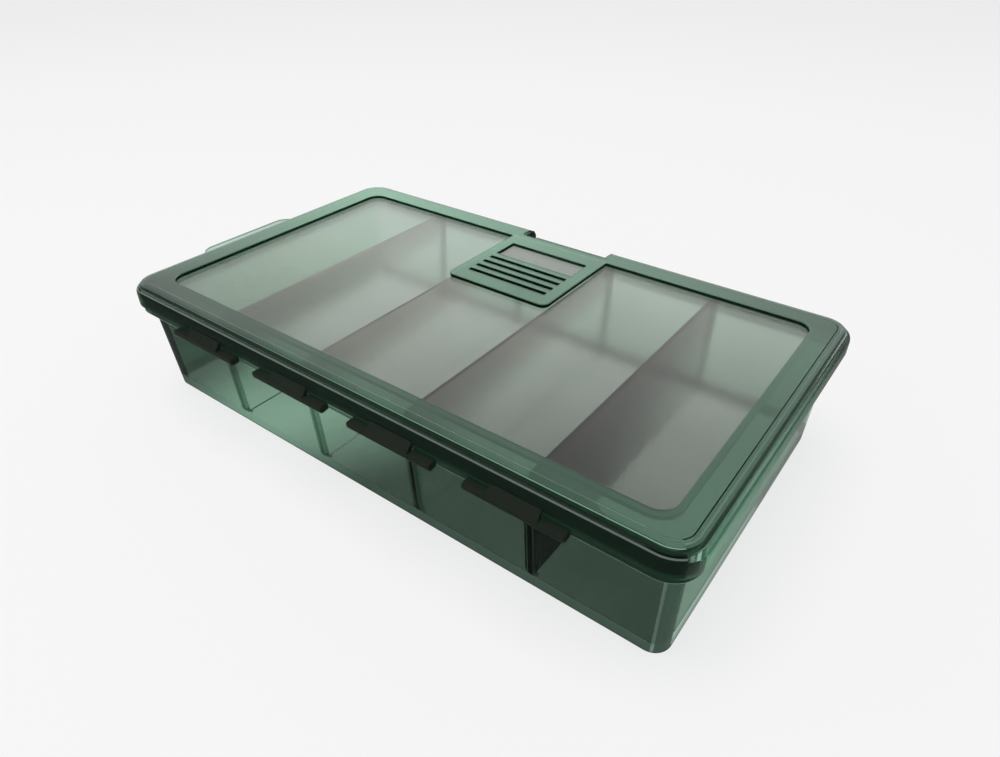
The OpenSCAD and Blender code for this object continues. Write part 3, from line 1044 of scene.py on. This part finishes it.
@dataclass
class Lid:
    """The cover: border, skirt, platform and notch in one piece, and the frosted window under them."""

    finishes: Finishes
    half: Pair = LID_HALF
    corner_r: float = 9.0
    skirt_z: float = 34.4
    skirt_t: float = 1.4
    top_z: float = 41.8
    border_z: float = 40.2
    crown: tuple[Pair, ...] = (
        (0.0, 3.2), (0.12, 2.5), (0.34, 2.02), (0.62, 1.65), (1.3, 1.04), (1.65, 0.73), (2.0, 0.43),
        (2.15, 0.35), (2.7, 0.2), (2.85, 0.17), (3.3, 0.09), (4.1, 0.02), (4.15, 0.05), (4.35, 0.05),
        (4.4, 0.0))
    crease: float = 2.15
    window_half: Pair = (91.8, 49.3)
    window_r: float = 5.0
    step_t: float = 1.5
    panel_z: Pair = (38.9, 40.4)
    seam: float = 0.05
    platform_half: float = 20.0
    platform_y: float = -10.5
    platform_r: float = 2.5
    label_half: float = 15.7
    label_y: Pair = (-43.4, -33.0)
    label_plate: tuple[Pair, ...] = ((0.12, 0.0), (0.12, 0.2), (0.2, 0.28))
    groove_y: float = -29.5
    groove_w: float = 1.7
    groove_pitch: float = 4.0
    groove_count: int = 4
    lip: float = 0.25
    lip_share: float = 0.2
    notch_half: float = 16.5
    notch_y: float = -54.0
    notch_t: float = 1.4
    notch_lip: Triple = (1.2, 2.5, 2.15)
    # notch_dark_y, notch_reach, inner_edge and skirt_shares also pick faces for painted light and shade:
    # the notch's dark ends, the window's lip line and near-black walls, and the skirt's lighter and
    # darker sides.
    notch_dark_y: float = -56.0
    notch_reach: float = 1.6
    inner_edge: Pair = (5.0, 5.6)
    notch_wall_z: float = 33.1
    skirt_shares: Pair = (0.3, 0.75)
    latch_axis: Pair = LATCH_AXIS
    bore_r: float = 0.85

    def outer(self) -> Mesh:
        """The block that the cover is cut from, with its bevel."""
        outline = rectangle(*self.half, self.corner_r, 12)
        rings = [level(outline.at(inset), self.skirt_z + along) for inset, along in quarter(0.3, 3)]
        rings += [level(outline.at(inset), self.top_z - down) for inset, down in self.crown]
        return loft("lid_frame", rings)

    def depth(self, place_in: Vector) -> float:
        """How far a place lies inside the cover's outline."""
        return -outside(place_in, self.half, self.corner_r)

    def edge_at(self, place_in: Vector) -> Edge:
        """Which edge of the cover a place is nearest to."""
        dx, dy = (abs(place_in[i]) - (self.half[i] - self.corner_r) for i in (0, 1))
        if dy > dx:
            return Edge.HINGED if place_in.y > 0 else Edge.FRONT
        return Edge.EAR if place_in.x > 0 else Edge.PLAIN

    def window_outline(self) -> Outline:
        """The opening in the border, with the platform reaching into it."""
        hx, hy = self.window_half
        p, wide, r = self.platform_half, self.window_r, self.platform_r
        return Outline([Corner(p, -hy, 0.3), Corner(hx, -hy, wide), Corner(hx, hy, wide),
                        Corner(-hx, hy, wide), Corner(-hx, -hy, wide), Corner(-p, -hy, 0.3),
                        Corner(-p, self.platform_y, r), Corner(p, self.platform_y, r)], steps=8)

    def frame_piece(self) -> Piece:
        """Makes the border, skirt, platform and notch."""
        blank = Blank("lid_frame", self.outer())
        inside = rectangle(self.half[0] - self.skirt_t, self.half[1] - self.skirt_t,
                           self.corner_r - self.skirt_t, 12)
        blank.cut(plate("inside", inside, self.skirt_z - 1.0, self.border_z, 0.0, 0.5))
        side = self.notch_half + self.notch_t
        rear = self.notch_y + self.notch_t
        wall = box_outline(-side, side, -self.half[1] + 0.4, rear, 0.4)
        blank.join(plate("notch_wall", wall, self.skirt_z, self.border_z + 0.4))
        behind = box_outline(-self.notch_half, self.notch_half, self.notch_y, rear, 0.4)
        blank.join(plate("notch_rear", behind, self.notch_wall_z, self.skirt_z + 0.5, 0.3))
        hx, hy = self.window_half
        grow = self.step_t + self.seam
        pocket = rectangle(hx + grow, hy + grow, self.window_r + grow)
        blank.cut(plate("pocket", pocket, self.border_z - 0.5, self.panel_z[1] + self.seam))
        blank.cut(cutter("opening", self.window_outline(), self.border_z - 0.2, self.top_z, self.lip))
        middles = [self.groove_y + i * self.groove_pitch for i in range(self.groove_count)]
        grooves = [(y - self.groove_w / 2, y + self.groove_w / 2) for y in middles]
        for span in (self.label_y, *grooves):
            recess = box_outline(-self.label_half, self.label_half, *span, 0.25)
            blank.cut(cutter("recess", recess, self.border_z - 0.2, self.top_z, 0.15))
        aside, back, down = self.notch_lip
        for rear_y, slope, wider in ((self.notch_y, back, 0.0), (self.notch_dark_y, 0.0, 0.02)):
            rings = []
            for z, share in ((self.notch_wall_z - 1.0, 0.0), (self.top_z - down, 0.0), (self.top_z, 1.0),
                             (self.top_z + 1.0, 1.0)):
                side_x = self.notch_half + aside * share + wider
                opening = box_outline(-side_x, side_x, -self.half[1] - 2.0, rear_y + slope * share,
                                      0.4 + aside * share)
                rings.append(level(opening.at(), z))
            blank.cut(loft("notch", rings))
        blank.cut(round_bar("bore", *self.latch_axis, self.bore_r, -side - 1.0, side + 1.0))
        piece = blank.done()
        smooth(piece)
        own = self.finishes
        bands = self.bands()

        def rule(middle: Vector, normal: Vector) -> Finish:
            """The top is light with painted light across it, painted highlight and shade lines follow
            its edges, the notch's ends and the window's walls are painted dark, and the rear skirt is
            painted darkest.
            """
            under_top = self.border_z - 1.0
            sideways = abs(normal.x) > SLANTED
            at_notch = abs(middle.x) < self.notch_half + self.notch_reach
            # The notch's end faces are painted dark.
            if middle.y < self.notch_dark_y and at_notch and sideways and middle.z > under_top:
                return own.recess
            depth = self.depth(middle)
            if normal.z > LEANING and middle.z > self.border_z - 0.7:
                for limit, finish in bands[self.edge_at(middle)]:
                    if depth < limit:
                        return finish
                # The notch's chamfers are painted dark, and the window's lip gets a painted highlight
                # line.
                if normal.z < FLAT and middle.y < self.notch_y + self.notch_lip[1] and sideways:
                    return own.bevel
                lip = normal.z < FLAT and depth > self.inner_edge[0] and normal.y < -self.lip_share
                return own.edge_line if lip else own.border
            if abs(normal.z) > SLANTED and middle.z > under_top:
                return own.border
            # The window's walls are painted near black.
            if middle.z > self.border_z - 0.1 and depth > self.inner_edge[1]:
                return own.recess
            # Painted light on the front and short skirts; painted shade on the rear skirt, less dark on
            # its rounded corners.
            corner, rear = self.skirt_shares
            if middle.y < 0 or abs(normal.y) < corner:
                return own.side_skirt
            return own.skirt if abs(normal.y) > rear else own.bevel

        dress(piece, [own.border, own.bevel, own.recess, own.skirt, own.side_skirt, own.edge_line,
                      own.crease, own.side_line, own.side_bevel], rule)
        return piece

    def bands(self) -> dict[Edge, tuple[tuple[float, Finish], ...]]:
        """The painted highlight and shade lines along each edge, from outside in: how far in each ends,
        and its finish.
        """
        own = self.finishes
        plain = ((2.7, own.bevel), (3.3, own.side_line))
        return {Edge.HINGED: ((0.34, own.skirt), (0.62, own.side_line), (2.0, own.bevel),
                              (self.crease, own.crease)),
                Edge.PLAIN: ((1.3, own.side_bevel), (self.crease, own.bevel), (2.85, own.border),
                             (3.3, own.side_line), (4.1, own.border), (4.4, own.recess)),
                Edge.FRONT: plain, Edge.EAR: plain}

    def window_piece(self) -> Piece:
        """Makes the frosted window with its step."""
        hx, hy = self.window_half
        outline = rectangle(hx + self.step_t, hy + self.step_t, self.window_r + self.step_t)
        piece = place("lid_window", plate("lid_window", outline, *self.panel_z, 0.3, 0.1))
        smooth(piece)
        own = self.finishes

        def rule(middle: Vector, normal: Vector) -> Finish:
            """The step's faces towards the hinges and away from the ear are drawn dark: painted shade.
            """
            dark = abs(normal.z) < SLANTED and (normal.y > LEANING or normal.x < -LEANING)
            return own.bevel if dark else own.window

        dress(piece, [own.window, own.bevel], rule)
        return piece

    def label_piece(self) -> Piece:
        """Makes the frosted plate on the floor of the label recess."""
        low = self.panel_z[1] + 0.02
        outline = box_outline(-self.label_half, self.label_half, *self.label_y, 0.25, 3)
        rings = [level(outline.at(inset), low + up) for inset, up in self.label_plate]
        piece = place("lid_label_plate", loft("lid_label_plate", rings))
        smooth(piece)
        dress(piece, [self.finishes.label])
        return piece

    def build(self) -> None:
        """Builds the cover's pieces and parents them to the lid's body."""
        cover, window, label = self.frame_piece(), self.window_piece(), self.label_piece()
        for piece in (cover, window, label):
            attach(piece, "lid")
            report(piece)
        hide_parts("lid")
        dress(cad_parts["latch_pin"], [self.finishes.steel])


@dataclass
class Latch:
    """The buckle in the notch: a barrel on its pin, a plate and a hook under the flange."""

    finishes: Finishes
    half_l: float = 16.1
    axis: Pair = LATCH_AXIS
    barrel_r: float = 1.7
    plate_y: Pair = (-60.7, -59.2)
    hook_z: float = 31.5
    hook_y: float = -57.6
    foot_z: float = 28.2
    lip_y: float = -62.3
    bore_r: float = 0.88

    def build(self) -> None:
        """Builds the buckle and parents it to the latch's body."""
        y, z = self.axis
        out, inner = self.plate_y
        r = self.barrel_r
        outline = Outline([
            Corner(y + r, z - r, r - 0.05), Corner(y + r, z + r, r - 0.05), Corner(out, z + r, 1.9),
            Corner(out, self.foot_z + 2.3, 0.8), Corner(self.lip_y, self.foot_z + 0.8, 0.3),
            Corner(self.lip_y + 0.8, self.foot_z, 0.3), Corner(inner, self.foot_z + 0.7, 0.4),
            Corner(inner, self.hook_z - 1.7, 0.3), Corner(self.hook_y, self.hook_z - 0.85, 0.25),
            Corner(self.hook_y, self.hook_z, 0.1), Corner(inner, self.hook_z, 0.15),
            Corner(inner, z - r, 0.5)], steps=5)
        blank = Blank("latch_buckle", bar("latch_buckle", outline, -self.half_l, self.half_l, 0.35))
        blank.cut(round_bar("bore", y, z, self.bore_r, -self.half_l - 1.0, self.half_l + 1.0))
        piece = blank.done()
        smooth(piece)
        dress(piece, [self.finishes.latch])
        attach(piece, "latch")
        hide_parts("latch")
        report(piece)


# Studio

@dataclass(frozen=True)
class Lamp:
    """A soft rectangular lamp that faces the box.

    Attributes:
        name: Name of the lamp.
        where: Its place, in metres.
        size: Its length and width, in metres.
        watts: Its power.
        along: Direction of its length.
        mirrored: Whether glossy faces show it.
    """

    name: str
    where: Triple
    size: Pair
    watts: float
    along: Triple = (1.0, 0.0, 0.0)
    mirrored: bool = False

    def build(self) -> None:
        """Hangs the lamp."""
        lamp = bpy.data.lights.new(self.name, "AREA")
        lamp.shape = "RECTANGLE"
        lamp.size, lamp.size_y = self.size
        lamp.energy = self.watts
        holder = bpy.data.objects.new(self.name, lamp)
        bpy.context.scene.collection.objects.link(holder)
        back = Vector(self.where).normalized()
        across = back.cross(Vector(self.along)).normalized()
        turned = Matrix((across.cross(back), across, back)).transposed().to_4x4()
        holder.matrix_world = Matrix.Translation(self.where) @ turned
        holder.visible_camera = False
        holder.visible_glossy = self.mirrored
        holder.visible_transmission = False


@dataclass
class Studio:
    """Floor, lamps, backdrop and the camera at the photograph's angle."""

    finishes: Finishes
    floor_half: float = 4.0
    floor_z: float = -0.0001
    sky: Colour = PALE
    sky_rise: Pair = (0.42, 0.85)
    zenith: float = 0.3
    eye: Triple = (-0.12772688, 0.15811597, 0.15299802)
    right: Triple = (-0.80254384, -0.59659245, 0.00090625)
    up: Triple = (0.3416392, -0.45833108, 0.82049697)
    lens: float = 25.9705
    sensor: float = 36.0
    nearest: float = 0.005
    bounces: int = 24
    clear_bounces: int = 32
    lamps: list[Lamp] = field(default_factory=lambda: [
        Lamp("soft_overhead", (0.1, 0.1, 1.1), (0.8, 0.8), 9.6),
        Lamp("rear_strip", (0.51, 0.575, 0.505), (0.9, 0.08), 0.6, (0.66, -0.33, -0.29), True),
        Lamp("side_strip", (-0.62, -0.77, 0.16), (0.5, 0.1), 0.6, (0.78, -0.62, 0.0), True),
    ])

    def ground(self) -> None:
        """Lays the floor."""
        h, z = self.floor_half, self.floor_z
        mesh = bpy.data.meshes.new("studio_floor")
        mesh.from_pydata([(-h, -h, z), (h, -h, z), (h, h, z), (-h, h, z)], [], [(0, 1, 2, 3)])
        mesh.materials.append(self.finishes.studio)
        place("studio_floor", mesh)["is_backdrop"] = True

    def light(self) -> None:
        """Sets the backdrop's colour and the soft lamps."""
        world = bpy.data.worlds.new("plain_backdrop")
        bpy.context.scene.world = world
        world.use_nodes = True
        tree = Tree(world.node_tree)
        where = tree.add("ShaderNodeTexCoord").outputs["Generated"]
        height = tree.add("ShaderNodeSeparateXYZ", {"Vector": where}).outputs["Z"]
        sky = tree.nodes["Background"].inputs
        tree.links.new(tree.spread(height, *self.sky_rise, 1.0, self.zenith, soft=True), sky["Strength"])
        sky["Color"].default_value = (*self.sky, 1.0)
        for lamp in self.lamps:
            lamp.build()

    def camera(self) -> None:
        """Stands the camera where the photograph was taken."""
        shot = bpy.data.cameras.new("camera")
        shot.sensor_fit = "HORIZONTAL"
        shot.sensor_width = self.sensor
        shot.lens = self.lens
        shot.clip_start = self.nearest
        holder = bpy.data.objects.new("camera", shot)
        bpy.context.scene.collection.objects.link(holder)
        right, up = Vector(self.right), Vector(self.up)
        turned = Matrix((right, up, right.cross(up))).transposed().to_4x4()
        holder.matrix_world = Matrix.Translation(self.eye) @ turned
        bpy.context.scene.camera = holder

    def build(self) -> None:
        """Sets the stage."""
        self.ground()
        self.light()
        self.camera()
        scene = bpy.context.scene
        scene.view_settings.view_transform = "Standard"
        scene.cycles.max_bounces = self.bounces
        scene.cycles.transmission_bounces = self.bounces
        scene.cycles.transparent_max_bounces = self.clear_bounces


def report(*pieces: Piece) -> None:
    """Logs the size of each piece."""
    for piece in pieces:
        LOG.info("%s: %d faces", piece.name, len(piece.data.polygons))


def corners() -> list[list[float]]:
    """The box of what is shown, as plain lists."""
    return [list(corner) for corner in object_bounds()]


def main() -> None:
    logging.basicConfig(level=logging.INFO, format="%(name)s %(message)s")
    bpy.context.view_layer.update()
    finishes = Finishes()
    Studio(finishes).build()
    tray = Tray(finishes)
    tray.build()
    Dividers(tray).build()
    Hinges(tray).build()
    Lid(finishes).build()
    Latch(finishes).build()


if __name__ == "__main__":
    main()
